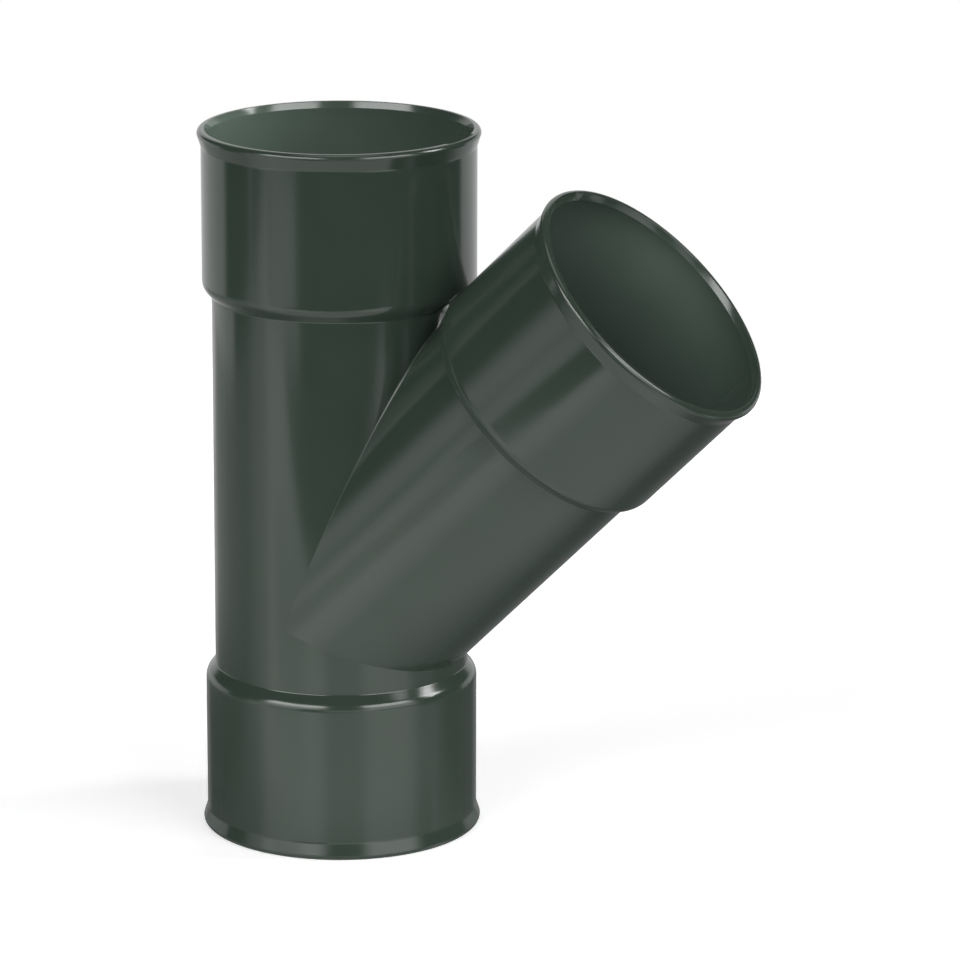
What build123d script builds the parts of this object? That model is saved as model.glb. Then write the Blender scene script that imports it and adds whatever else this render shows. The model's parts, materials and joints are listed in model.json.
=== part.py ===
"""A 45 degree equal lateral wye for an 80 mm rainwater downpipe, moulded in one piece.

The run stands on its lower rim. All three ends are plain push-on sockets of one pattern:
a rolled lip, a lead-in, a bore for the pipe, and a shoulder that steps down to the body.
Lengths are in millimetres and angles in degrees.
"""

import os
from math import cos, radians, sin, tan

from build123d import *

# Lay-out: each shoulder starts a little way past the crease between its arm and the next.
branch_angle = 45.0
crotch_to_shoulder = 2.25
heel_to_shoulder = 3.45

# Socket bore: the pipe slides in with a small gap and comes to rest on a flat ledge.
pipe_diameter = 80.0
pipe_clearance = 0.15
socket_depth = 46.5
lead_in_depth = 2.0
lead_in_width = 0.85
stop_ledge = 2.9
stop_edge_break = 0.6

# Walls: the same stock thickness in the sockets and in the body.
socket_wall = 1.85
body_wall = 1.85

# Shoulder: the cone outside each socket, which ends a little way below the pipe stop.
stop_to_shoulder = 2.1
shoulder_length = 3.25
shoulder_round = 4.5

# Lip: the rim swells outwards, and its crest keeps a narrow flat land.
lip_rise = 1.2
lip_height = 5.3
lip_round = 1.6

# Web: it fills the narrow end of the crotch, where the two long arms' shoulders meet.
web_half_width = 9.0

bore_radius = pipe_diameter / 2 + pipe_clearance
socket_radius = bore_radius + socket_wall
passage_radius = bore_radius - stop_ledge
body_radius = passage_radius + body_wall
lip_radius = socket_radius + lip_rise
land_outer_radius = lip_radius - lip_round
land_inner_radius = bore_radius + lead_in_width
socket_length = socket_depth + stop_to_shoulder

# The shank is an arm's plain body, from the point where the three axes meet to its shoulder.
half_angle = radians(branch_angle) / 2
long_shank = body_radius / tan(half_angle) + crotch_to_shoulder
short_shank = body_radius * tan(half_angle) + heel_to_shoulder
centre = Vector(0, 0, short_shank + shoulder_length + socket_length)


def plane_along(tilt):
    """A plane whose Y leaves the centre at a tilt from the run's axis, and whose X is the radius."""
    return Plane(origin=centre, x_dir=(cos(tilt), 0, -sin(tilt)), z_dir=(0, -1, 0))


upper_arm = plane_along(0)
branch_arm = plane_along(2 * half_angle)
lower_arm = plane_along(radians(180))
crotch_middle = plane_along(half_angle)


def arm_axis(arm):
    """The line that an arm is turned about."""
    return Axis(arm.origin, arm.y_dir)


def add_arm(arm, shank):
    """Adds the outside of an arm: its half of the body, its shoulder, its socket and its lip."""
    shoulder_top = shank + shoulder_length
    rim = shoulder_top + socket_length
    with BuildSketch(arm) as outside:
        with BuildLine():
            body = Line((body_radius, 0), (body_radius, shank))
            shoulder = FilletPolyline(
                body @ 1,
                (socket_radius, shoulder_top),
                (socket_radius, rim - lip_height),
                radius=shoulder_round,
            )
            flare = Line(shoulder @ 1, (lip_radius, rim - lip_round))
            lip = RadiusArc(flare @ 1, (land_outer_radius, rim), -lip_round)
            Polyline(lip @ 1, (0, rim), (0, 0), body @ 0)
        make_face()
    revolve(outside.sketch, axis=arm_axis(arm))


def add_crotch_web(shank):
    """Adds the wedge between the two long arms, up to the level of their shoulders' outer corners."""
    level = socket_radius * sin(half_angle) + (shank + shoulder_length) * cos(half_angle)
    half_span = level * tan(half_angle)
    with BuildSketch(crotch_middle) as wedge:
        with BuildLine():
            Polyline((0, 0), (half_span, level), (-half_span, level), close=True)
        make_face()
    extrude(wedge.sketch, amount=web_half_width, both=True)


def bore_arm(arm, shank):
    """Cuts the inside of an arm: the passage, the pipe stop, the pipe's bore and the lead-in."""
    rim = shank + shoulder_length + socket_length
    stop = rim - socket_depth
    with BuildSketch(arm) as inside:
        with BuildLine():
            Polyline(
                (0, 0),
                (passage_radius, 0),
                (passage_radius, stop - stop_edge_break),
                (passage_radius + stop_edge_break, stop),
                (bore_radius, stop),
                (bore_radius, rim - lead_in_depth),
                (land_inner_radius, rim),
                (0, rim),
                close=True,
            )
        make_face()
    revolve(inside.sketch, axis=arm_axis(arm), mode=Mode.SUBTRACT)


with BuildPart() as wye_fitting:
    add_arm(upper_arm, long_shank)
    add_arm(branch_arm, long_shank)
    add_arm(lower_arm, short_shank)
    add_crotch_web(long_shank)

    bore_arm(upper_arm, long_shank)
    bore_arm(branch_arm, long_shank)
    bore_arm(lower_arm, short_shank)

wye_fitting.part.label = "wye_fitting"
os.makedirs("parts", exist_ok=True)
export_step(wye_fitting.part, "parts/wye_fitting.step")
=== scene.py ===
"""Dresses a moulded lateral wye: a smooth one-piece skin in glossy PVC, in a plain white studio.

The CAD frame gives the sockets, the height and the lean of the branch. One outline of a socket
is turned about each arm's axis by Geometry Nodes, the arms are cut where they meet, and the
creases between them get the small rounds that the mould leaves. Lengths are in metres.
"""
import json
import logging
import math
from dataclasses import dataclass
from enum import Enum
from typing import Any

import bmesh
import bpy
from mathutils import Matrix, Vector


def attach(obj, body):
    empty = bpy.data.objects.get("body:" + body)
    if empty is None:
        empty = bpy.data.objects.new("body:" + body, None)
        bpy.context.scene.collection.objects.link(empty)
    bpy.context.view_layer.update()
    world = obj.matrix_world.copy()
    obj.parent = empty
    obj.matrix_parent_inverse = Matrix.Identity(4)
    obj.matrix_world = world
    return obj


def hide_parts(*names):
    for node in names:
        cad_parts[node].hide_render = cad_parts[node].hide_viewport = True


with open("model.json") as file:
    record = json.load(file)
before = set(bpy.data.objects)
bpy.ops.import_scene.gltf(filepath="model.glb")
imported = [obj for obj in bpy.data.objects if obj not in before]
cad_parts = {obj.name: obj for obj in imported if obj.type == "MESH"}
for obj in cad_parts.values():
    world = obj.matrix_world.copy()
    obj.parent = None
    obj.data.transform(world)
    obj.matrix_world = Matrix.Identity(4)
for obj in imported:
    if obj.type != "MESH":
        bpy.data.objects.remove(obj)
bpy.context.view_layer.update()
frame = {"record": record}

logger = logging.getLogger("wye")

MM = 0.001
CUBIC_CM = 1e-6
PICTURE_WIDTH = 960
WHITE = (1.0, 1.0, 1.0, 1.0)

MATH = "ShaderNodeMath"
VECTOR_MATH = "ShaderNodeVectorMath"
VECTOR_OF = "ShaderNodeCombineXYZ"
RAMP = "ShaderNodeMapRange"
BLEND = "ShaderNodeMix"
STORE = "GeometryNodeStoreNamedAttribute"
SMOOTH = {"interpolation_type": "SMOOTHSTEP"}
OF_NUMBERS = {"data_type": "FLOAT"}
OF_VECTORS = {"data_type": "VECTOR"}
# A point whose ease is above this is past the round in the crease.
FULL_EASE = 0.999
COUNT_INPUTS = {"Columns": "NodeSocketInt", "Round Steps": "NodeSocketInt"}

Colour = tuple[float, float, float, float]
Point = tuple[float, float, float]
Step = tuple[str, str, Any, Any]


def srgb(code: str) -> Colour:
    """Turns an sRGB hex value into a linear colour.

    Args:
        code: Six hex digits, such as "3D4641".

    Returns:
        Red, green, blue and an alpha of one.
    """
    channels = [int(code[i:i + 2], 16) / 255 for i in (0, 2, 4)]
    linear = [c / 12.92 if c <= 0.04045 else ((c + 0.055) / 1.055) ** 2.4 for c in channels]
    return (linear[0], linear[1], linear[2], 1.0)


def add_node(
    tree: bpy.types.NodeTree, kind: str, inputs: dict[Any, Any], **settings: Any
) -> bpy.types.Node:
    """Adds a node, with its settings and what goes into it.

    Args:
        tree: The tree that gets the node.
        kind: The node's type, such as "ShaderNodeMath".
        inputs: For each socket's name or number, a socket to link from or a value to set.
        **settings: The node's own properties.

    Returns:
        The new node.
    """
    node = tree.nodes.new(kind)
    for name, value in settings.items():
        setattr(node, name, value)
    for key, value in inputs.items():
        if isinstance(value, bpy.types.NodeSocket):
            tree.links.new(value, node.inputs[key])
        else:
            node.inputs[key].default_value = value
    return node


def work_out(tree: bpy.types.NodeTree, known: dict[str, Any], steps: tuple[Step, ...]) -> None:
    """Adds the nodes of a calculation, one for each step, and keeps each result under its name.

    Args:
        tree: The tree that gets the nodes.
        known: Sockets and numbers by name, which the steps may use. Each step adds its result.
        steps: For each step, its result's name, the node's type, its operation or else its settings,
            and what goes in, in order or by socket name. A text here is the name of a known one.
    """
    for result, kind, chosen, inputs in steps:
        settings = {"operation": chosen} if isinstance(chosen, str) else chosen
        listed = inputs if isinstance(inputs, dict) else dict(enumerate(inputs))
        found = {key: known[value] if isinstance(value, str) else value for key, value in listed.items()}
        node = add_node(tree, kind, found, **settings)
        known[result] = next(socket for socket in node.outputs if socket.enabled)


def cleared_tree(owner: bpy.types.Material | bpy.types.World) -> bpy.types.NodeTree:
    """Turns on the nodes of a material or a world.

    Args:
        owner: The material or the world.

    Returns:
        Its tree, with nothing in it.
    """
    owner.use_nodes = True
    owner.node_tree.nodes.clear()
    return owner.node_tree


@dataclass(frozen=True)
class WyeSizes:
    """The fitting's sizes. The first five come from the frame, and the rest are measured or guessed."""

    bore_radius: float
    socket_depth: float
    centre_height: float
    long_reach: float
    lean: float
    socket_wall: float = 1.85 * MM
    body_wall: float = 1.85 * MM
    stop_ledge: float = 2.9 * MM
    stop_to_shoulder: float = 2.1 * MM
    shoulder_length: float = 3.25 * MM
    shoulder_foot_round: float = 0.8 * MM
    shoulder_round: float = 4.5 * MM
    lip_rise: float = 1.2 * MM
    lip_height: float = 5.3 * MM
    lip_foot_round: float = 3.0 * MM
    lip_round: float = 1.6 * MM
    land_edge_round: float = 0.2 * MM
    lead_in_depth: float = 2.0 * MM
    lead_in_width: float = 0.85 * MM
    lead_in_round: float = 0.3 * MM
    stop_corner_round: float = 0.15 * MM
    stop_edge_round: float = 0.6 * MM
    crease_round: float = 0.5 * MM
    web_half_width: float = 9.0 * MM
    web_softness: float = 0.8 * MM

    @classmethod
    def from_frame(cls, record: dict[str, Any]) -> "WyeSizes":
        """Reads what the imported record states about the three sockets.

        Args:
            record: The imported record.

        Returns:
            The fitting's sizes.
        """
        mounts = {mount["name"]: mount for mount in record["mounts"]}
        branch = mounts["branch_socket"]
        along = Vector(branch["axis"]).normalized()
        stop = Vector(branch["pos_m"])
        stop_reach = stop.x / along.x
        depth = mounts["lower_socket"]["pos_m"][2]
        return cls(
            bore_radius=branch["dims"]["r_mm"] * MM,
            socket_depth=depth,
            centre_height=stop.z - along.z * stop_reach,
            long_reach=stop_reach + depth,
            lean=math.atan2(along.x, along.z),
        )

    @property
    def socket_radius(self) -> float:
        """Outside radius of a socket."""
        return self.bore_radius + self.socket_wall

    @property
    def passage_radius(self) -> float:
        """Inside radius of the body."""
        return self.bore_radius - self.stop_ledge

    @property
    def body_radius(self) -> float:
        """Outside radius of the body."""
        return self.passage_radius + self.body_wall

    @property
    def lip_radius(self) -> float:
        """Outside radius of a lip, which is the fitting's widest."""
        return self.socket_radius + self.lip_rise

    @property
    def shoulder_to_rim(self) -> float:
        """Length from a shoulder's foot to the rim beyond it."""
        return self.shoulder_length + self.stop_to_shoulder + self.socket_depth

    @property
    def long_shank(self) -> float:
        """Length of plain body from the centre to the shoulder of the upper arm or the branch."""
        return self.long_reach - self.shoulder_to_rim

    @property
    def short_shank(self) -> float:
        """Length of plain body from the centre down to the lower shoulder."""
        return self.centre_height - self.shoulder_to_rim


class Skin(Enum):
    """The two sides of the wall. The value is the share of the web's lift that a side takes."""

    OUTSIDE = 1.0
    INSIDE = 0.0


@dataclass
class OutlinePoint:
    """A point of the outline that is turned into a socket.

    The height is measured from the shoulder's foot. Points with a share below one belong to the
    plain body, and those with an ease below one to the round in the crease.
    """

    radius: float
    height: float
    rounding: float = 0.0
    share: float = 1.0
    ease: float = 1.0
    skin: Skin = Skin.OUTSIDE


@dataclass(frozen=True)
class MouldedPVC:
    """Rigid PVC, coloured through with dark green-grey pigment and moulded in a polished steel tool.

    It gives the eye a smooth, fairly glossy surface. The pigment is a little uneven over a few
    centimetres, the gloss varies where the melt cooled at different speeds, and the surface has a
    faint waviness of a few millimetres that softens the edges of reflections.
    """

    light: str = "38463D"
    dark: str = "313D35"
    ior: float = 1.53
    polished: float = 0.12
    dull: float = 0.18
    patch_size: float = 28 * MM
    ripple_size: float = 5 * MM
    ripple_height: float = 0.012 * MM
    grain_size: float = 0.6 * MM
    grain_range: tuple[float, float] = (0.3, 0.7)

    def material(self) -> bpy.types.Material:
        """Makes the material.

        Returns:
            The glossy PVC.
        """
        made = bpy.data.materials.new("moulded_pvc_dark_green_grey")
        tree = cleared_tree(made)
        place = add_node(tree, "ShaderNodeTexCoord", {}).outputs["Object"]
        patches = add_node(tree, "ShaderNodeTexNoise", {
            "Vector": place, "Scale": 1 / self.patch_size, "Detail": 3.0, "Roughness": 0.55})
        grain = add_node(tree, "ShaderNodeTexNoise", {
            "Vector": place, "Scale": 1 / self.grain_size, "Detail": 2.0, "Roughness": 0.5})
        pigment = add_node(tree, BLEND, {
            0: patches.outputs["Fac"], "A": srgb(self.dark), "B": srgb(self.light)}, data_type="RGBA")
        low, high = self.grain_range
        gloss = add_node(tree, RAMP, {
            "Value": grain.outputs["Fac"], "From Min": low, "From Max": high,
            "To Min": self.polished, "To Max": self.dull})
        ripple = add_node(tree, "ShaderNodeTexNoise", {
            "Vector": place, "Scale": 1 / self.ripple_size, "Detail": 1.0, "Roughness": 0.4})
        bump = add_node(tree, "ShaderNodeBump", {
            "Height": ripple.outputs["Fac"], "Strength": 1.0, "Distance": self.ripple_height})
        surface = add_node(tree, "ShaderNodeBsdfPrincipled", {
            "Base Color": pigment.outputs["Result"], "Roughness": gloss.outputs["Result"],
            "Normal": bump.outputs["Normal"], "IOR": self.ior})
        add_node(tree, "ShaderNodeOutputMaterial", {"Surface": surface.outputs["BSDF"]})
        return made


@dataclass
class WyeFitting:
    """The one moulded piece: three arms turned from one outline, and joined at their creases.

    The rows of points along a socket are distances from the corner before them, and from the one
    after them where negative. The plain body's are shares of its length from crease to shoulder.
    """

    sizes: WyeSizes
    columns: int = 192
    round_steps: int = 7
    crease_steps: int = 5
    body_shares: tuple[float, ...] = (
        0.0, 0.012, 0.04, 0.1, 0.2, 0.34, 0.5, 0.66, 0.8, 0.9, 0.96, 0.988, 1.0)
    socket_rows: tuple[float, ...] = (2.1 * MM, 4 * MM, 12 * MM, 22 * MM, 32 * MM, -4 * MM, -1 * MM)
    bore_rows: tuple[float, ...] = (0.6 * MM, 3 * MM, 12 * MM, 22 * MM, 32 * MM, -3 * MM, -0.5 * MM)
    row_drop: float = 1 * MM
    clear_of_round: float = 0.1 * MM
    weld_distance: float = 0.001 * MM
    sliver_length: float = 0.0002 * MM

    def straight(
        self, start: OutlinePoint, end: OutlinePoint, at: tuple[float, ...]
    ) -> list[OutlinePoint]:
        """Adds points along a straight stretch, close to its ends, so that shading stays on the rounds.

        Args:
            start: The corner that the stretch leaves.
            end: The corner that it reaches.
            at: Distances from the start, and from the end where negative.

        Returns:
            The points between the two corners.
        """
        way = Vector((end.radius - start.radius, end.height - start.height))
        points = []
        for distance in at:
            along = distance if distance >= 0 else way.length + distance
            place = way * (along / way.length)
            points.append(OutlinePoint(start.radius + place.x, start.height + place.y, skin=start.skin))
        return points

    def outline(self) -> list[OutlinePoint]:
        """Draws a socket's outline, from the crease outside, over the lip, to the crease inside.

        Returns:
            The outline's points, in order.
        """
        s = self.sizes
        rim = s.shoulder_to_rim
        stop = rim - s.socket_depth
        foot = OutlinePoint(s.body_radius, 0, s.shoulder_foot_round)
        shoulder = OutlinePoint(s.socket_radius, s.shoulder_length, s.shoulder_round)
        lip_foot = OutlinePoint(s.socket_radius, rim - s.lip_height, s.lip_foot_round)
        lip_side = OutlinePoint(s.lip_radius, rim - s.lip_round, s.lip_round / 2)
        crest = OutlinePoint(s.lip_radius, rim, s.lip_round)
        land = OutlinePoint(s.bore_radius + s.lead_in_width, rim, s.land_edge_round)
        lead_in = OutlinePoint(s.bore_radius, rim - s.lead_in_depth, s.lead_in_round, skin=Skin.INSIDE)
        corner = OutlinePoint(s.bore_radius, stop, s.stop_corner_round, skin=Skin.INSIDE)
        edge = OutlinePoint(s.passage_radius, stop, s.stop_edge_round, skin=Skin.INSIDE)
        return [
            *self.plain_body(s.body_radius, Skin.OUTSIDE),
            foot,
            shoulder,
            *self.straight(shoulder, lip_foot, self.socket_rows),
            lip_foot,
            lip_side,
            crest,
            land,
            lead_in,
            *self.straight(lead_in, corner, self.bore_rows),
            corner,
            edge,
            *reversed(self.plain_body(s.passage_radius, Skin.INSIDE)),
        ]

    def plain_body(self, radius: float, skin: Skin) -> list[OutlinePoint]:
        """Lists the rows of the plain body on one side of the wall, from the crease outwards.

        The arm's tree works out where they go, so their heights here only keep them in order.

        Args:
            radius: The body's radius on that side.
            skin: The side of the wall.

        Returns:
            The rows' points, with heights below those of the shoulder.
        """
        end = self.plain_end(skin)
        drop = self.row_drop
        rows = []
        for step in range(self.crease_steps):
            ease = step / self.crease_steps
            rows.append(OutlinePoint(radius, end - drop * (3 - ease), share=0.0, ease=ease, skin=skin))
        for share in self.body_shares:
            rows.append(OutlinePoint(radius, end - drop * 2 * (1 - share), share=share, skin=skin))
        return rows

    def plain_end(self, skin: Skin) -> float:
        """Works out where the plain body ends, just short of the round that follows it.

        Args:
            skin: The side of the wall.

        Returns:
            The height above the shoulder's foot.
        """
        s = self.sizes
        if skin is Skin.OUTSIDE:
            slope = math.atan2(s.socket_radius - s.body_radius, s.shoulder_length)
            return -s.shoulder_foot_round * math.tan(slope / 2) - self.clear_of_round
        return s.shoulder_to_rim - s.socket_depth - s.stop_edge_round - self.clear_of_round

    def outline_mesh(self) -> bpy.types.Mesh:
        """Makes the outline a chain of edges, with what its points carry as attributes.

        Returns:
            The mesh.
        """
        points = self.outline()
        mesh = bpy.data.meshes.new("outline")
        mesh.from_pydata([(p.radius, 0.0, p.height) for p in points],
                         [(i, i + 1) for i in range(len(points) - 1)], [])
        plain_radius = {Skin.OUTSIDE: self.sizes.body_radius, Skin.INSIDE: self.sizes.passage_radius}
        carried = {
            "rounding": [p.rounding for p in points],
            "share": [p.share for p in points],
            "ease": [p.ease for p in points],
            "lift": [p.skin.value for p in points],
            "plain_radius": [plain_radius[p.skin] for p in points],
            "plain_end": [self.plain_end(p.skin) for p in points],
        }
        for name, values in carried.items():
            mesh.attributes.new(name, "FLOAT", "POINT").data.foreach_set("value", values)
        return mesh

    def skin_mesh(self, material: bpy.types.Material) -> bpy.types.Mesh:
        """Turns the outline into the three arms and joins them.

        Args:
            material: What the skin is made of.

        Returns:
            The closed skin as a plain mesh, with its faces outwards.
        """
        s = self.sizes
        tree, sockets = wye_tree(material)
        carrier = bpy.data.objects.new("outline_carrier", self.outline_mesh())
        bpy.context.collection.objects.link(carrier)
        modifier = carrier.modifiers.new("arms", "NODES")
        modifier.node_group = tree
        values = {
            "Columns": self.columns, "Round Steps": self.round_steps, "Crease Round": s.crease_round,
            "Long Shank": s.long_shank, "Short Shank": s.short_shank, "Centre Height": s.centre_height,
            "Lean": s.lean, "Shoulder Length": s.shoulder_length,
            "Socket Rise": s.socket_radius - s.body_radius,
            "Web Half Width": s.web_half_width, "Web Softness": s.web_softness,
        }
        for name, value in values.items():
            modifier[sockets[name]] = value
        seen = bpy.context.evaluated_depsgraph_get()
        mesh = bpy.data.meshes.new_from_object(carrier.evaluated_get(seen))
        bpy.data.objects.remove(carrier)
        shell = bmesh.new()
        shell.from_mesh(mesh)
        bmesh.ops.remove_doubles(shell, verts=shell.verts, dist=self.weld_distance)
        bmesh.ops.dissolve_degenerate(shell, edges=shell.edges, dist=self.sliver_length)
        bmesh.ops.recalc_face_normals(shell, faces=shell.faces)
        open_edges = sum(1 for edge in shell.edges if not edge.is_manifold)
        if shell.calc_volume(signed=True) < 0:
            bmesh.ops.reverse_faces(shell, faces=shell.faces)
        logger.info("skin: %d faces, %d open edges, %.1f cm3", len(shell.faces), open_edges,
                    shell.calc_volume() / CUBIC_CM)
        shell.to_mesh(mesh)
        shell.free()
        carried = [a.name for a in mesh.attributes
                   if a.domain == "POINT" and a.name != "position" and not a.is_internal]
        for name in carried:
            mesh.attributes.remove(mesh.attributes[name])
        return mesh

    def build(self, material: bpy.types.Material) -> bpy.types.Object:
        """Makes the fitting's visible piece.

        Args:
            material: What it is made of.

        Returns:
            The piece, riding on the root body in place of the CAD node.
        """
        piece = bpy.data.objects.new("wye_fitting_skin", self.skin_mesh(material))
        bpy.context.collection.objects.link(piece)
        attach(piece, "root")
        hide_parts("wye_fitting")
        return piece


def new_geometry_tree(
    name: str, inputs: dict[str, str]
) -> tuple[bpy.types.NodeTree, dict[str, str]]:
    """Starts a Geometry Nodes tree with a geometry input and output.

    Args:
        name: The tree's name.
        inputs: For each named input, its socket type.

    Returns:
        The tree, and for each input's name its identifier.
    """
    tree = bpy.data.node_groups.new(name, "GeometryNodeTree")
    tree.interface.new_socket("Geometry", in_out="OUTPUT", socket_type="NodeSocketGeometry")
    tree.interface.new_socket("Geometry", in_out="INPUT", socket_type="NodeSocketGeometry")
    identifiers = {}
    for label, kind in inputs.items():
        socket = tree.interface.new_socket(label, in_out="INPUT", socket_type=kind)
        identifiers[label] = socket.identifier
    return tree, identifiers


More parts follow.
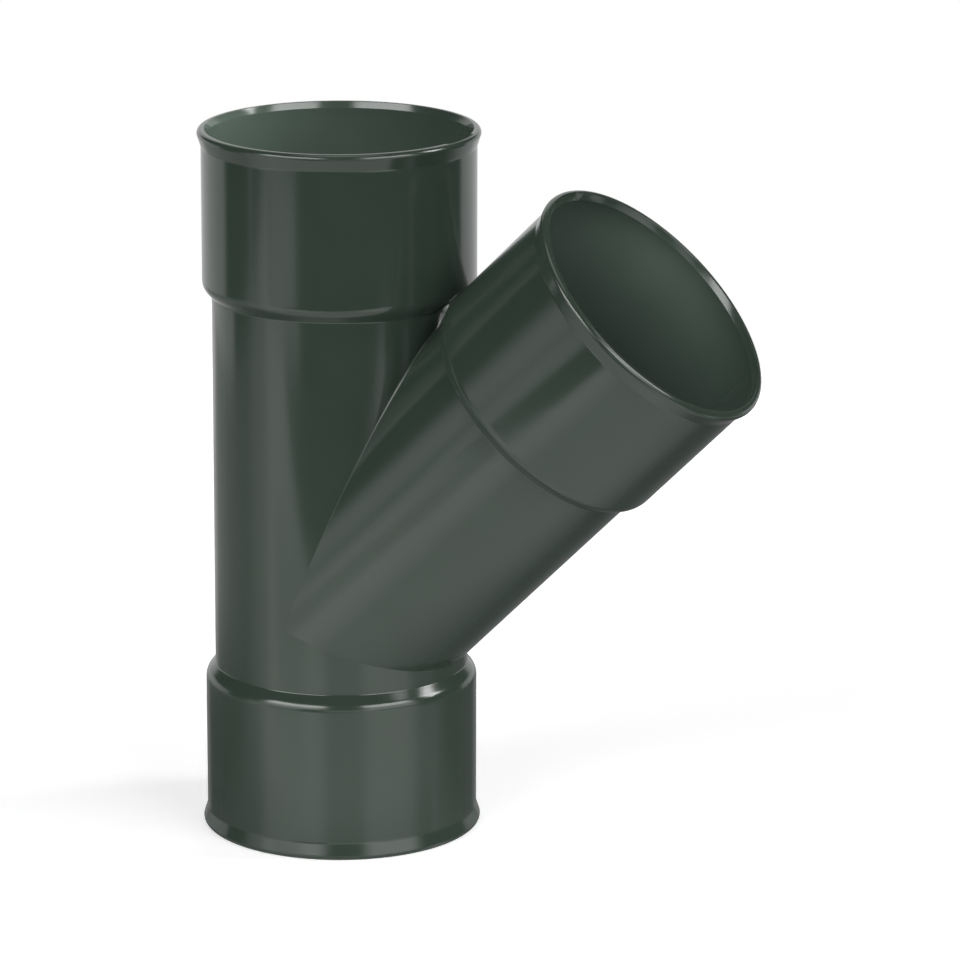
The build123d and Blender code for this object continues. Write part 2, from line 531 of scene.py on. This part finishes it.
def arm_tree() -> bpy.types.NodeTree:
    """Makes the tree that turns the outline into one arm.

    The arm stands along Z from the point where the axes meet. Its front faces +X. Where it meets
    the arm in front or behind, it starts at the plane half-way between the two, with a round of the
    crease's radius, whose ball touches both arms. The web lifts that ball to the sockets' level.

    Returns:
        The tree.
    """
    numbers = ("Crease Round", "Shank", "Shoulder Length", "Socket Rise", "Web Half Width",
               "Web Softness", "Front Half Angle", "Back Half Angle", "Front Web", "Back Web",
               "Tilt", "Centre Height")
    tree, _ = new_geometry_tree(
        "socket_arm", COUNT_INPUTS | dict.fromkeys(numbers, "NodeSocketFloat"))
    given = add_node(tree, "NodeGroupInput", {}).outputs
    known: dict[str, Any] = {socket.name: socket for socket in given if socket.name}
    for name in ("rounding", "ring_radius", "height", "turn", "plain_radius", "plain_end",
                 "lift", "share", "ease"):
        carried = add_node(tree, "GeometryNodeInputNamedAttribute", {"Name": name})
        known[name] = carried.outputs["Attribute"]

    chain = add_node(tree, "GeometryNodeMeshToCurve", {"Mesh": given["Geometry"]})
    rounded = add_node(tree, "GeometryNodeFilletCurve", {
        "Curve": chain.outputs["Curve"], "Radius": known["rounding"], "Count": given["Round Steps"],
        "Limit Radius": True}, mode="POLY")
    position = add_node(tree, "GeometryNodeInputPosition", {}).outputs["Position"]
    drawn = add_node(tree, "ShaderNodeSeparateXYZ", {"Vector": position}).outputs
    outline = rounded.outputs["Curve"]
    for name, axis in (("ring_radius", "X"), ("height", "Z")):
        stored = add_node(tree, STORE, {"Geometry": outline, "Name": name, "Value": drawn[axis]},
                          domain="POINT", **OF_NUMBERS)
        outline = stored.outputs["Geometry"]
    known["column"] = add_node(tree, "GeometryNodeInputIndex", {}).outputs["Index"]
    work_out(tree, known, (
        ("part_turn", MATH, "DIVIDE", ("column", "Columns")),
        ("ring_turn", MATH, "MULTIPLY", ("part_turn", math.tau)),
    ))
    ring = add_node(tree, "GeometryNodeCurvePrimitiveCircle", {
        "Resolution": given["Columns"], "Radius": 1.0}, mode="RADIUS")
    turned = add_node(tree, STORE, {
        "Geometry": ring.outputs["Curve"], "Name": "turn", "Value": known["ring_turn"]},
        domain="POINT", **OF_NUMBERS)
    swept = add_node(tree, "GeometryNodeCurveToMesh", {
        "Curve": turned.outputs["Geometry"], "Profile Curve": outline, "Fill Caps": False})

    work_out(tree, known, (
        # A column of points looks to the front or the back, and takes its crease from there.
        ("across", MATH, "COSINE", ("turn",)),
        ("sideways", MATH, "SINE", ("turn",)),
        ("in_front", MATH, "GREATER_THAN", ("across", 0.0)),
        ("side", MATH, "SIGN", ("across",)),
        ("reach", MATH, "ABSOLUTE", ("across",)),
        ("half_angle", BLEND, OF_NUMBERS, {
            0: "in_front", "A": "Back Half Angle", "B": "Front Half Angle"}),
        ("web", BLEND, OF_NUMBERS, {0: "in_front", "A": "Back Web", "B": "Front Web"}),
        ("cosine", MATH, "COSINE", ("half_angle",)),
        ("sine", MATH, "SINE", ("half_angle",)),
        # Across the web, the ball that rounds the crease is lifted.
        ("off_middle", MATH, "ABSOLUTE", ("sideways",)),
        ("off_middle", MATH, "MULTIPLY", ("off_middle", "plain_radius")),
        ("web_outside", MATH, "ADD", ("Web Half Width", "Web Softness")),
        ("web_inside", MATH, "SUBTRACT", ("Web Half Width", "Web Softness")),
        ("webbed", RAMP, SMOOTH, {
            "Value": "off_middle", "From Min": "web_outside", "From Max": "web_inside"}),
        ("webbed", MATH, "MULTIPLY", ("webbed", "web")),
        ("rise", MATH, "MULTIPLY", ("Socket Rise", "lift")),
        ("lifted", MATH, "MULTIPLY_ADD", ("webbed", "rise", "plain_radius")),
        ("ball", MATH, "ADD", ("lifted", "Crease Round")),
        # The arm starts beside the ball's middle, on the shoulder where the web lifts it that far.
        ("start", MATH, "MULTIPLY", ("ball", "reach")),
        ("start", MATH, "MULTIPLY", ("start", "cosine")),
        ("start", MATH, "DIVIDE", ("start", "sine")),
        ("shoulder_top", MATH, "ADD", ("Shank", "Shoulder Length")),
        ("start_rise", RAMP, SMOOTH, {
            "Value": "start", "From Min": "Shank", "From Max": "shoulder_top",
            "To Min": 0.0, "To Max": "rise"}),
        ("start_radius", MATH, "ADD", ("plain_radius", "start_rise")),
        # The round swings about the ball's middle, from the plane between the arms to the arm.
        ("facing_x", MATH, "MULTIPLY", ("side", "cosine")),
        ("facing_z", MATH, "MULTIPLY", ("sine", -1.0)),
        ("lean_in", MATH, "MULTIPLY", ("reach", "cosine")),
        ("opening", MATH, "ARCSINE", ("lean_in",)),
        ("swing", MATH, "MULTIPLY", ("opening", "ease")),
        ("swing_out", MATH, "COSINE", ("swing",)),
        ("swing_in", MATH, "SINE", ("swing",)),
        ("outwards", VECTOR_OF, {}, {"X": "across", "Y": "sideways"}),
        ("facing", VECTOR_OF, {}, {"X": "facing_x", "Z": "facing_z"}),
        ("back_off", VECTOR_MATH, "SCALE", {0: "facing", "Scale": "lean_in"}),
        ("along_plane", VECTOR_MATH, "SUBTRACT", ("outwards", "back_off")),
        ("along_plane", VECTOR_MATH, "NORMALIZE", ("along_plane",)),
        ("spoke_out", VECTOR_MATH, "SCALE", {0: "along_plane", "Scale": "swing_out"}),
        ("spoke_in", VECTOR_MATH, "SCALE", {0: "facing", "Scale": "swing_in"}),
        ("spoke", VECTOR_MATH, "ADD", ("spoke_out", "spoke_in")),
        ("spoke", VECTOR_MATH, "SCALE", {0: "spoke", "Scale": "Crease Round"}),
        ("crease_lift", VECTOR_OF, {}, {"Z": "start"}),
        ("hub", VECTOR_MATH, "SCALE", {0: "outwards", "Scale": "ball"}),
        ("hub", VECTOR_MATH, "ADD", ("hub", "crease_lift")),
        ("in_crease", VECTOR_MATH, "SUBTRACT", ("hub", "spoke")),
        # It settles onto the arm's own radius on the way.
        ("ease_squared", MATH, "MULTIPLY", ("ease", "ease")),
        ("settle", MATH, "SUBTRACT", ("start_radius", "lifted")),
        ("settle", MATH, "MULTIPLY", ("settle", "ease_squared")),
        ("settled", VECTOR_MATH, "SCALE", {0: "outwards", "Scale": "settle"}),
        ("in_crease", VECTOR_MATH, "ADD", ("in_crease", "settled")),
        # Past the crease, the rows share out the plain body, and the rest keeps its outline.
        ("plain_top", MATH, "ADD", ("Shank", "plain_end")),
        ("above", MATH, "SUBTRACT", ("height", "plain_end")),
        ("above", MATH, "MAXIMUM", ("above", 0.0)),
        ("along", BLEND, OF_NUMBERS, {0: "share", "A": "start", "B": "plain_top"}),
        ("level", MATH, "ADD", ("along", "above")),
        ("level", MATH, "MAXIMUM", ("level", "start")),
        ("radius", MATH, "MAXIMUM", ("ring_radius", "start_radius")),
        ("arm_lift", VECTOR_OF, {}, {"Z": "level"}),
        ("on_arm", VECTOR_MATH, "SCALE", {0: "outwards", "Scale": "radius"}),
        ("on_arm", VECTOR_MATH, "ADD", ("on_arm", "arm_lift")),
        ("past_crease", MATH, "GREATER_THAN", ("ease", FULL_EASE)),
        ("place", BLEND, OF_VECTORS, {0: "past_crease", "A": "in_crease", "B": "on_arm"}),
        # The finished arm leans about the centre and goes up to its height.
        ("leaned", VECTOR_OF, {}, {"Y": "Tilt"}),
        ("raised", VECTOR_OF, {}, {"Z": "Centre Height"}),
    ))
    placed = add_node(tree, "GeometryNodeSetPosition", {
        "Geometry": swept.outputs["Mesh"], "Position": known["place"]})
    moved = add_node(tree, "GeometryNodeTransform", {
        "Geometry": placed.outputs["Geometry"], "Translation": known["raised"],
        "Rotation": known["leaned"]})
    add_node(tree, "NodeGroupOutput", {"Geometry": moved.outputs["Geometry"]})
    return tree


def wye_tree(material: bpy.types.Material) -> tuple[bpy.types.NodeTree, dict[str, str]]:
    """Makes the tree that joins the three arms.

    Args:
        material: What the skin is made of.

    Returns:
        The tree, and for each input's name its identifier.
    """
    numbers = ("Crease Round", "Long Shank", "Short Shank", "Centre Height", "Lean",
               "Shoulder Length", "Socket Rise", "Web Half Width", "Web Softness")
    tree, identifiers = new_geometry_tree(
        "wye_skin", COUNT_INPUTS | dict.fromkeys(numbers, "NodeSocketFloat"))
    given = add_node(tree, "NodeGroupInput", {}).outputs
    arm = arm_tree()
    known: dict[str, Any] = {"Lean": given["Lean"]}
    work_out(tree, known, (
        ("crotch", MATH, "MULTIPLY", ("Lean", 0.5)),
        ("heel", MATH, "SUBTRACT", (math.pi / 2, "crotch")),
    ))
    crotch, heel = known["crotch"], known["heel"]
    shared = ("Geometry", "Columns", "Round Steps", "Crease Round", "Shoulder Length", "Socket Rise",
              "Web Half Width", "Web Softness", "Centre Height")
    own = (
        # The upper arm.
        {"Shank": given["Long Shank"], "Tilt": 0.0, "Front Half Angle": crotch, "Front Web": 1.0,
         "Back Half Angle": math.pi / 2, "Back Web": 0.0},
        # The branch.
        {"Shank": given["Long Shank"], "Tilt": given["Lean"], "Front Half Angle": heel,
         "Front Web": 0.0, "Back Half Angle": crotch, "Back Web": 1.0},
        # The lower arm, which is turned upside down.
        {"Shank": given["Short Shank"], "Tilt": math.pi, "Front Half Angle": math.pi / 2,
         "Front Web": 0.0, "Back Half Angle": heel, "Back Web": 0.0},
    )
    joined = add_node(tree, "GeometryNodeJoinGeometry", {})
    for values in own:
        inputs = {name: given[name] for name in shared} | values
        group = add_node(tree, "GeometryNodeGroup", inputs, node_tree=arm)
        tree.links.new(group.outputs["Geometry"], joined.inputs["Geometry"])
    smooth = add_node(tree, "GeometryNodeSetShadeSmooth", {"Geometry": joined.outputs["Geometry"]})
    real = add_node(tree, "GeometryNodeRealizeInstances", {"Geometry": smooth.outputs["Geometry"]})
    dressed = add_node(tree, "GeometryNodeSetMaterial", {
        "Geometry": real.outputs["Geometry"], "Material": material})
    add_node(tree, "NodeGroupOutput", {"Geometry": dressed.outputs["Geometry"]})
    return tree, identifiers


def place_at(azimuth: float, distance: float, height: float) -> Vector:
    """Finds a place around the foot's centre. Its azimuth is counted from -Y towards +X, in degrees."""
    a = math.radians(azimuth)
    return Vector((distance * math.sin(a), -distance * math.cos(a), height))


@dataclass(frozen=True)
class Camera:
    """The viewpoint that the photograph's outlines give, measured from the foot's centre.

    The turn, pitch and roll aim it, in degrees, starting from a level look at the run's axis.
    """

    distance: float = 1.6
    azimuth: float = 27.137
    height: float = 541.253 * MM
    pitch: float = 15.113
    turn: float = -1.539
    roll: float = 0.138
    focal_pixels: float = 5372.759
    sensor: float = 36.0
    nearest: float = 0.05
    furthest: float = 50.0

    def build(self) -> bpy.types.Object:
        """Makes the camera and gives it to the scene.

        Returns:
            The camera.
        """
        heading = math.radians(self.azimuth + self.turn)
        dip = math.radians(self.pitch)
        forward = math.cos(dip)
        ahead = Vector((-math.sin(heading) * forward, math.cos(heading) * forward, -math.sin(dip)))
        level = Vector((math.cos(heading), math.sin(heading), 0.0))
        upward = level.cross(ahead)
        roll = math.radians(self.roll)
        right = level * math.cos(roll) + upward * math.sin(roll)
        top = upward * math.cos(roll) - level * math.sin(roll)
        data = bpy.data.cameras.new("viewpoint")
        data.sensor_width = self.sensor
        data.lens = self.focal_pixels * self.sensor / PICTURE_WIDTH
        data.clip_start = self.nearest
        data.clip_end = self.furthest
        camera = bpy.data.objects.new("viewpoint", data)
        place = place_at(self.azimuth, self.distance, self.height)
        turned = Matrix((right, top, -ahead)).transposed().to_4x4()
        camera.matrix_world = Matrix.Translation(place) @ turned
        bpy.context.collection.objects.link(camera)
        bpy.context.scene.camera = camera
        logger.info("camera %s", camera.name)
        return camera


def hang_lamp(
    name: str, radius: float, power: float, colour: str, place: Vector, away: Vector
) -> bpy.types.Object:
    """Hangs a round lamp. Its light shows, but the camera and the gloss don't see the lamp.

    Args:
        name: The lamp's name.
        radius: The radius of its disc.
        power: Its power in watts.
        colour: The sRGB hex value of its light.
        place: Where it hangs.
        away: The way that it turns its back.

    Returns:
        The lamp.
    """
    data = bpy.data.lights.new(name, "AREA")
    data.shape = "DISK"
    data.size = 2 * radius
    data.energy = power
    data.color = srgb(colour)[:3]
    lamp = bpy.data.objects.new(name, data)
    lamp.matrix_world = Matrix.Translation(place) @ away.to_track_quat("Z", "Y").to_matrix().to_4x4()
    lamp.visible_camera = False
    lamp.visible_glossy = False
    bpy.context.collection.objects.link(lamp)
    logger.info("lamp %s", name)
    return lamp


@dataclass(frozen=True)
class MouthLamp:
    """A small round lamp just outside an open mouth, which shines into it.

    Its tilt is the arm's, in degrees, and its gap is its distance beyond the rim. Aside says how
    far off the arm's axis it hangs, in the plane of the arms and square to it.
    """

    name: str
    tilt: float
    power: float
    gap: float
    aside: tuple[float, float]
    radius: float = 16 * MM
    colour: str = "FFEFFA"

    def build(self, sizes: WyeSizes) -> bpy.types.Object:
        """Makes the lamp.

        Args:
            sizes: The fitting's sizes, which place its mouths.

        Returns:
            The lamp.
        """
        tilt = math.radians(self.tilt)
        along = Vector((math.sin(tilt), 0.0, math.cos(tilt)))
        across = Vector((math.cos(tilt), 0.0, -math.sin(tilt)))
        place = Vector((0.0, 0.0, sizes.centre_height)) + along * (sizes.long_reach + self.gap)
        place += across * self.aside[0] + Vector((0.0, self.aside[1], 0.0))
        return hang_lamp(self.name, self.radius, self.power, self.colour, place, along)


@dataclass(frozen=True)
class BackLamp:
    """A broad low lamp behind the fitting, so that its back isn't left dark."""

    azimuth: float = 207.0
    distance: float = 1.3
    height: float = 0.2
    radius: float = 0.45
    power: float = 6.0
    target: Point = (0.045, 0.0, 0.11)
    colour: str = "FFFFFF"

    def build(self) -> bpy.types.Object:
        """Makes the lamp.

        Returns:
            The lamp.
        """
        place = place_at(self.azimuth, self.distance, self.height)
        return hang_lamp("back_lamp", self.radius, self.power, self.colour, place,
                         place - Vector(self.target))


@dataclass(frozen=True)
class WhiteAcrylic:
    """Cast white acrylic sheet with a polished face, which mirrors most at low angles.

    The camera sees it white, with the fitting's shadow. The fitting sees painted light and shadow
    on it, as a glow: painted light in front and to the right, painted shadow close behind it, and
    painted half light further out on the left.

    Each edge is the name of an area, what runs across that edge, and where it starts and ends, in
    metres from the foot's centre.
    """

    matte_colour: str = "F4F4F4"
    camera_fill: float = 0.55
    ior: float = 1.49
    roughness: float = 0.13
    painted_lit_level: float = 0.83
    painted_shade_level: float = 0.12
    painted_side_light: float = 0.38
    painted_back_light: float = 0.7
    scattered_share: float = 0.93
    right_way: Point = (-0.25, -1.0, 0.0)
    left_way: Point = (0.46, -0.89, 0.0)
    edges: tuple[tuple[str, str, float, float], ...] = (
        ("lit_right", "along_right", -0.17, 0.03),
        ("lit_left", "along_left", -0.01, 0.10),
        ("far_left", "reach", 0.12, 0.32),
        ("left", "x", 0.0, -0.2),
        ("far_back", "reach", 0.3, 0.5),
        ("back", "y", 0.15, 0.35),
    )

    def material(self) -> bpy.types.Material:
        """Makes the material.

        Returns:
            The glossy white acrylic.
        """
        made = bpy.data.materials.new("white_acrylic_table")
        tree = cleared_tree(made)
        place = add_node(tree, "ShaderNodeTexCoord", {}).outputs["Object"]
        spot = add_node(tree, "ShaderNodeSeparateXYZ", {"Vector": place}).outputs
        path = add_node(tree, "ShaderNodeLightPath", {}).outputs
        known: dict[str, Any] = {
            "place": place, "x": spot["X"], "y": spot["Y"], "is_scattered": path["Is Diffuse Ray"]}
        # The level is painted light and painted shadow, set by where a point lies on the table
        work_out(tree, known, (
            ("reach", VECTOR_MATH, "LENGTH", ("place",)),
            ("along_right", VECTOR_MATH, "DOT_PRODUCT", ("place", self.right_way)),
            ("along_left", VECTOR_MATH, "DOT_PRODUCT", ("place", self.left_way)),
            *((area, RAMP, SMOOTH, {"Value": across, "From Min": start, "From Max": end})
              for area, across, start, end in self.edges),
            ("lit", MATH, "MINIMUM", ("lit_right", "lit_left")),
            ("unlit", MATH, "SUBTRACT", (1.0, "lit")),
            ("side", MATH, "MULTIPLY", ("far_left", "left")),
            ("side", MATH, "MULTIPLY", ("side", "unlit")),
            ("behind", MATH, "MULTIPLY", ("far_back", "back")),
            ("behind", MATH, "MULTIPLY", ("behind", self.painted_back_light)),
            ("level", MATH, "MULTIPLY_ADD", ("lit", self.painted_lit_level, self.painted_shade_level)),
            ("level", MATH, "MULTIPLY_ADD", ("side", self.painted_side_light, "level")),
            ("level", MATH, "MAXIMUM", ("level", "behind")),
            ("share", MATH, "MULTIPLY_ADD", ("is_scattered", self.scattered_share - 1.0, 1.0)),
            ("level", MATH, "MULTIPLY", ("level", "share")),
        ))
        # For every ray but the camera's, the table shows this painted light and shadow as a glow, in
        # place of being lit
        glow = add_node(tree, "ShaderNodeEmission", {"Color": WHITE, "Strength": known["level"]})
        gloss = add_node(tree, "ShaderNodeBsdfGlossy", {"Color": WHITE, "Roughness": self.roughness})
        mirrored = add_node(tree, "ShaderNodeFresnel", {"IOR": self.ior})
        seen = add_node(tree, "ShaderNodeMixShader", {
            0: mirrored.outputs[0], 1: glow.outputs[0], 2: gloss.outputs[0]})
        matte = add_node(tree, "ShaderNodeBsdfDiffuse", {"Color": srgb(self.matte_colour)})
        fill = add_node(tree, "ShaderNodeEmission", {"Color": WHITE, "Strength": self.camera_fill})
        plain = add_node(tree, "ShaderNodeAddShader", {0: matte.outputs[0], 1: fill.outputs[0]})
        both = add_node(tree, "ShaderNodeMixShader", {
            0: path["Is Camera Ray"], 1: seen.outputs[0], 2: plain.outputs[0]})
        add_node(tree, "ShaderNodeOutputMaterial", {"Surface": both.outputs[0]})
        return made


@dataclass(frozen=True)
class Table:
    """The top of the table that the fitting stands on. It reaches further forward on the left."""

    finish: WhiteAcrylic = WhiteAcrylic()
    corners: tuple[tuple[float, float], ...] = (
        (-0.62, 0.6), (-0.62, -0.97), (0.03, -0.32), (0.62, -0.32), (0.62, 0.6))

    def build(self) -> bpy.types.Object:
        """Makes the table.

        Returns:
            The table's top.
        """
        mesh = bpy.data.meshes.new("table_top")
        order = tuple(range(len(self.corners)))
        mesh.from_pydata([(x, y, 0.0) for x, y in self.corners], [], [order])
        mesh.materials.append(self.finish.material())
        table = bpy.data.objects.new("table_top", mesh)
        bpy.context.collection.objects.link(table)
        logger.info("stage piece %s", table.name)
        return table


@dataclass(frozen=True)
class LowCard:
    """A low glowing card across the table's front left, which only the gloss sees: a painted reflection.

    It is full bright over a share of its width, and fades to nothing at its two ends.
    """

    left: float = -0.36
    right: float = 0.0
    place: float = -0.50
    low: float = 0.035
    high: float = 0.12
    bright_share: float = 0.4

    def material(self) -> bpy.types.Material:
        """Makes the card's glow, which is a painted reflection.

        Returns:
            The material, clear where it doesn't glow.
        """
        made = bpy.data.materials.new("white_card")
        tree = cleared_tree(made)
        spot = add_node(tree, "ShaderNodeTexCoord", {}).outputs["Object"]
        middle = (self.left + self.right) / 2
        half_width = self.right - middle
        known: dict[str, Any] = {
            "across": add_node(tree, "ShaderNodeSeparateXYZ", {"Vector": spot}).outputs["X"]}
        work_out(tree, known, (
            ("off", MATH, "SUBTRACT", ("across", middle)),
            ("off", MATH, "ABSOLUTE", ("off",)),
            ("share", RAMP, SMOOTH, {
                "Value": "off", "From Min": half_width, "From Max": half_width * self.bright_share}),
        ))
        # The card's glow is a painted reflection: only the gloss sees it, and it lights nothing
        glow = add_node(tree, "ShaderNodeEmission", {"Strength": known["share"]})
        clear = add_node(tree, "ShaderNodeBsdfTransparent", {})
        seen = add_node(tree, "ShaderNodeMixShader", {
            0: known["share"], 1: clear.outputs[0], 2: glow.outputs[0]})
        add_node(tree, "ShaderNodeOutputMaterial", {"Surface": seen.outputs[0]})
        return made

    def build(self) -> bpy.types.Object:
        """Makes the card.

        Returns:
            The card, which neither the camera nor scattered light sees.
        """
        mesh = bpy.data.meshes.new("low_card")
        ends = ((self.left, self.low), (self.right, self.low),
                (self.right, self.high), (self.left, self.high))
        mesh.from_pydata([(x, self.place, z) for x, z in ends], [], [(0, 3, 2, 1)])
        mesh.materials.append(self.material())
        card = bpy.data.objects.new("low_card", mesh)
        card.visible_camera = False
        card.visible_diffuse = False
        card.visible_shadow = False
        bpy.context.collection.objects.link(card)
        logger.info("stage piece %s", card.name)
        return card


@dataclass(frozen=True)
class Glow:
    """A soft-edged bright area of the room, in degrees. Its azimuth is counted from -Y towards +X.

    Its softness is the width of its low and high edges, and its side softness that of its sides. A
    leaning area's low and high edges rise by its lean for each degree of azimuth.
    """

    name: str
    azimuth: float
    half_width: float
    low: float
    high: float
    brightness: float
    softness: float = 5.0
    side_softness: float = 5.0
    lean: float = 0.0

    def steps(self) -> tuple[Step, ...]:
        """Lists the steps that add this area's light to the total.

        Returns:
            The steps, which work from a direction's elevation and from its flat part.
        """
        a = math.radians(self.azimuth)
        soft = self.softness / 2
        side_soft = self.side_softness / 2
        edges = (
            ("beside", "off", self.half_width + side_soft, self.half_width - side_soft),
            ("above", "tilted", self.low - soft, self.low + soft),
            ("below", "tilted", self.high + soft, self.high - soft),
        )
        return (
            ("off", VECTOR_MATH, "DOT_PRODUCT", ("flat", (math.sin(a), -math.cos(a), 0.0))),
            ("off", MATH, "MINIMUM", ("off", 1.0)),
            ("off", MATH, "ARCCOSINE", ("off",)),
            ("aside", VECTOR_MATH, "DOT_PRODUCT", ("flat", (math.cos(a), math.sin(a), 0.0))),
            ("tilted", MATH, "MULTIPLY_ADD", ("aside", -self.lean, "elevation")),
            *((name, RAMP, SMOOTH, {
                "Value": across, "From Min": math.radians(start), "From Max": math.radians(end)})
              for name, across, start, end in edges),
            ("share", MATH, "MULTIPLY", ("beside", "above")),
            ("share", MATH, "MULTIPLY", ("share", "below")),
            ("total", MATH, "MULTIPLY_ADD", ("share", self.brightness, "total")),
        )


@dataclass(frozen=True)
class Room:
    """The room: white to the camera, and otherwise dark with its bright areas."""

    shade: float = 0.04
    scattered_share: float = 0.07
    glows: tuple[Glow, ...] = (
        Glow("backdrop", -147.0, 64.0, -60.0, 10.0, 0.75),
        Glow("backdrop_top", -153.0, 26.0, 10.0, 42.0, 0.8),
        Glow("left_box", -15.5, 27.5, 10.0, 41.0, 2.4, side_softness=15.0),
        Glow("left_box_top", -15.5, 27.5, 24.0, 41.0, 4.6),
        Glow("left_box_foot", -33.0, 24.0, -6.0, 10.0, 1.0, 14.0, 14.0),
        Glow("right_box", 69.5, 22.5, 2.0, 41.0, 2.1, side_softness=15.0),
        Glow("right_box_top", 69.5, 22.5, 24.0, 41.0, 4.6),
        Glow("front_wall", 35.0, 22.0, -4.0, 9.0, 0.9),
        Glow("side_window", 120.5, 9.0, 25.0, 45.0, 11.5, 1.2, lean=0.4),
        Glow("ceiling", 0.0, 190.0, 72.0, 100.0, 1.35),
        Glow("lamp_stand", -52.0, 1.6, -25.0, 0.0, 0.4, 2.0, 2.0),
    )

    def build(self) -> bpy.types.World:
        """Makes the room.

        Returns:
            The world.
        """
        world = bpy.data.worlds.new("studio_room")
        tree = cleared_tree(world)
        ahead = add_node(tree, "ShaderNodeTexCoord", {}).outputs["Generated"]
        height = add_node(tree, "ShaderNodeSeparateXYZ", {"Vector": ahead}).outputs["Z"]
        path = add_node(tree, "ShaderNodeLightPath", {}).outputs
        known: dict[str, Any] = {
            "ahead": ahead, "height": height, "total": self.shade,
            "is_camera": path["Is Camera Ray"], "is_scattered": path["Is Diffuse Ray"]}
        work_out(tree, known, (
            ("elevation", MATH, "ARCSINE", ("height",)),
            ("flat", VECTOR_MATH, "MULTIPLY", ("ahead", (1.0, 1.0, 0.0))),
            ("flat", VECTOR_MATH, "NORMALIZE", ("flat",)),
        ))
        for glow in self.glows:
            work_out(tree, known, glow.steps())
            logger.info("glow %s", glow.name)
        work_out(tree, known, (
            ("scattered", MATH, "MULTIPLY_ADD", ("is_scattered", self.scattered_share - 1.0, 1.0)),
            ("total", MATH, "MULTIPLY", ("total", "scattered")),
            ("strength", BLEND, OF_NUMBERS, {0: "is_camera", "A": "total", "B": 1.0}),
        ))
        air = add_node(tree, "ShaderNodeBackground", {"Color": WHITE, "Strength": known["strength"]})
        add_node(tree, "ShaderNodeOutputWorld", {"Surface": air.outputs[0]})
        bpy.context.scene.world = world
        return world


@dataclass(frozen=True)
class Studio:
    """A small glossy white table in a dark room, between two tall softboxes and a pale backdrop.

    The camera sees the table and the room as plain white. The fitting mirrors the room as it is,
    the table's painted light and painted shadow, and the low card's painted reflection. Of the
    light that it scatters the room gives only a share, so that the green stays dark beside its
    bright reflections. Nothing on the fitting is metal or glass.
    """

    table: Table = Table()
    card: LowCard = LowCard()
    room: Room = Room()
    lamps: tuple[MouthLamp, ...] = (
        MouthLamp("lamp_over_run", 0.0, 0.031, 7 * MM, (-17 * MM, 0.0)),
        MouthLamp("lamp_over_branch", 45.0, 0.023, 1 * MM, (-4 * MM, 14 * MM)),
    )
    back_lamp: BackLamp = BackLamp()

    def build(self, sizes: WyeSizes) -> None:
        """Sets up the table, the room and the lamps.

        Args:
            sizes: The fitting's sizes.
        """
        self.table.build()
        self.card.build()
        self.room.build()
        for lamp in self.lamps:
            lamp.build(sizes)
        self.back_lamp.build()


def main() -> None:
    """Builds the fitting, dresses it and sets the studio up."""
    logging.basicConfig(level=logging.INFO, format="%(message)s")
    bpy.context.scene.view_settings.view_transform = "Standard"
    sizes = WyeSizes.from_frame(frame["record"])
    logger.info("sizes %s", sizes)
    piece = WyeFitting(sizes).build(MouldedPVC().material())
    logger.info("piece %s has %d vertices", piece.name, len(piece.data.vertices))
    Camera().build()
    Studio().build(sizes)


if __name__ == "__main__":
    main()
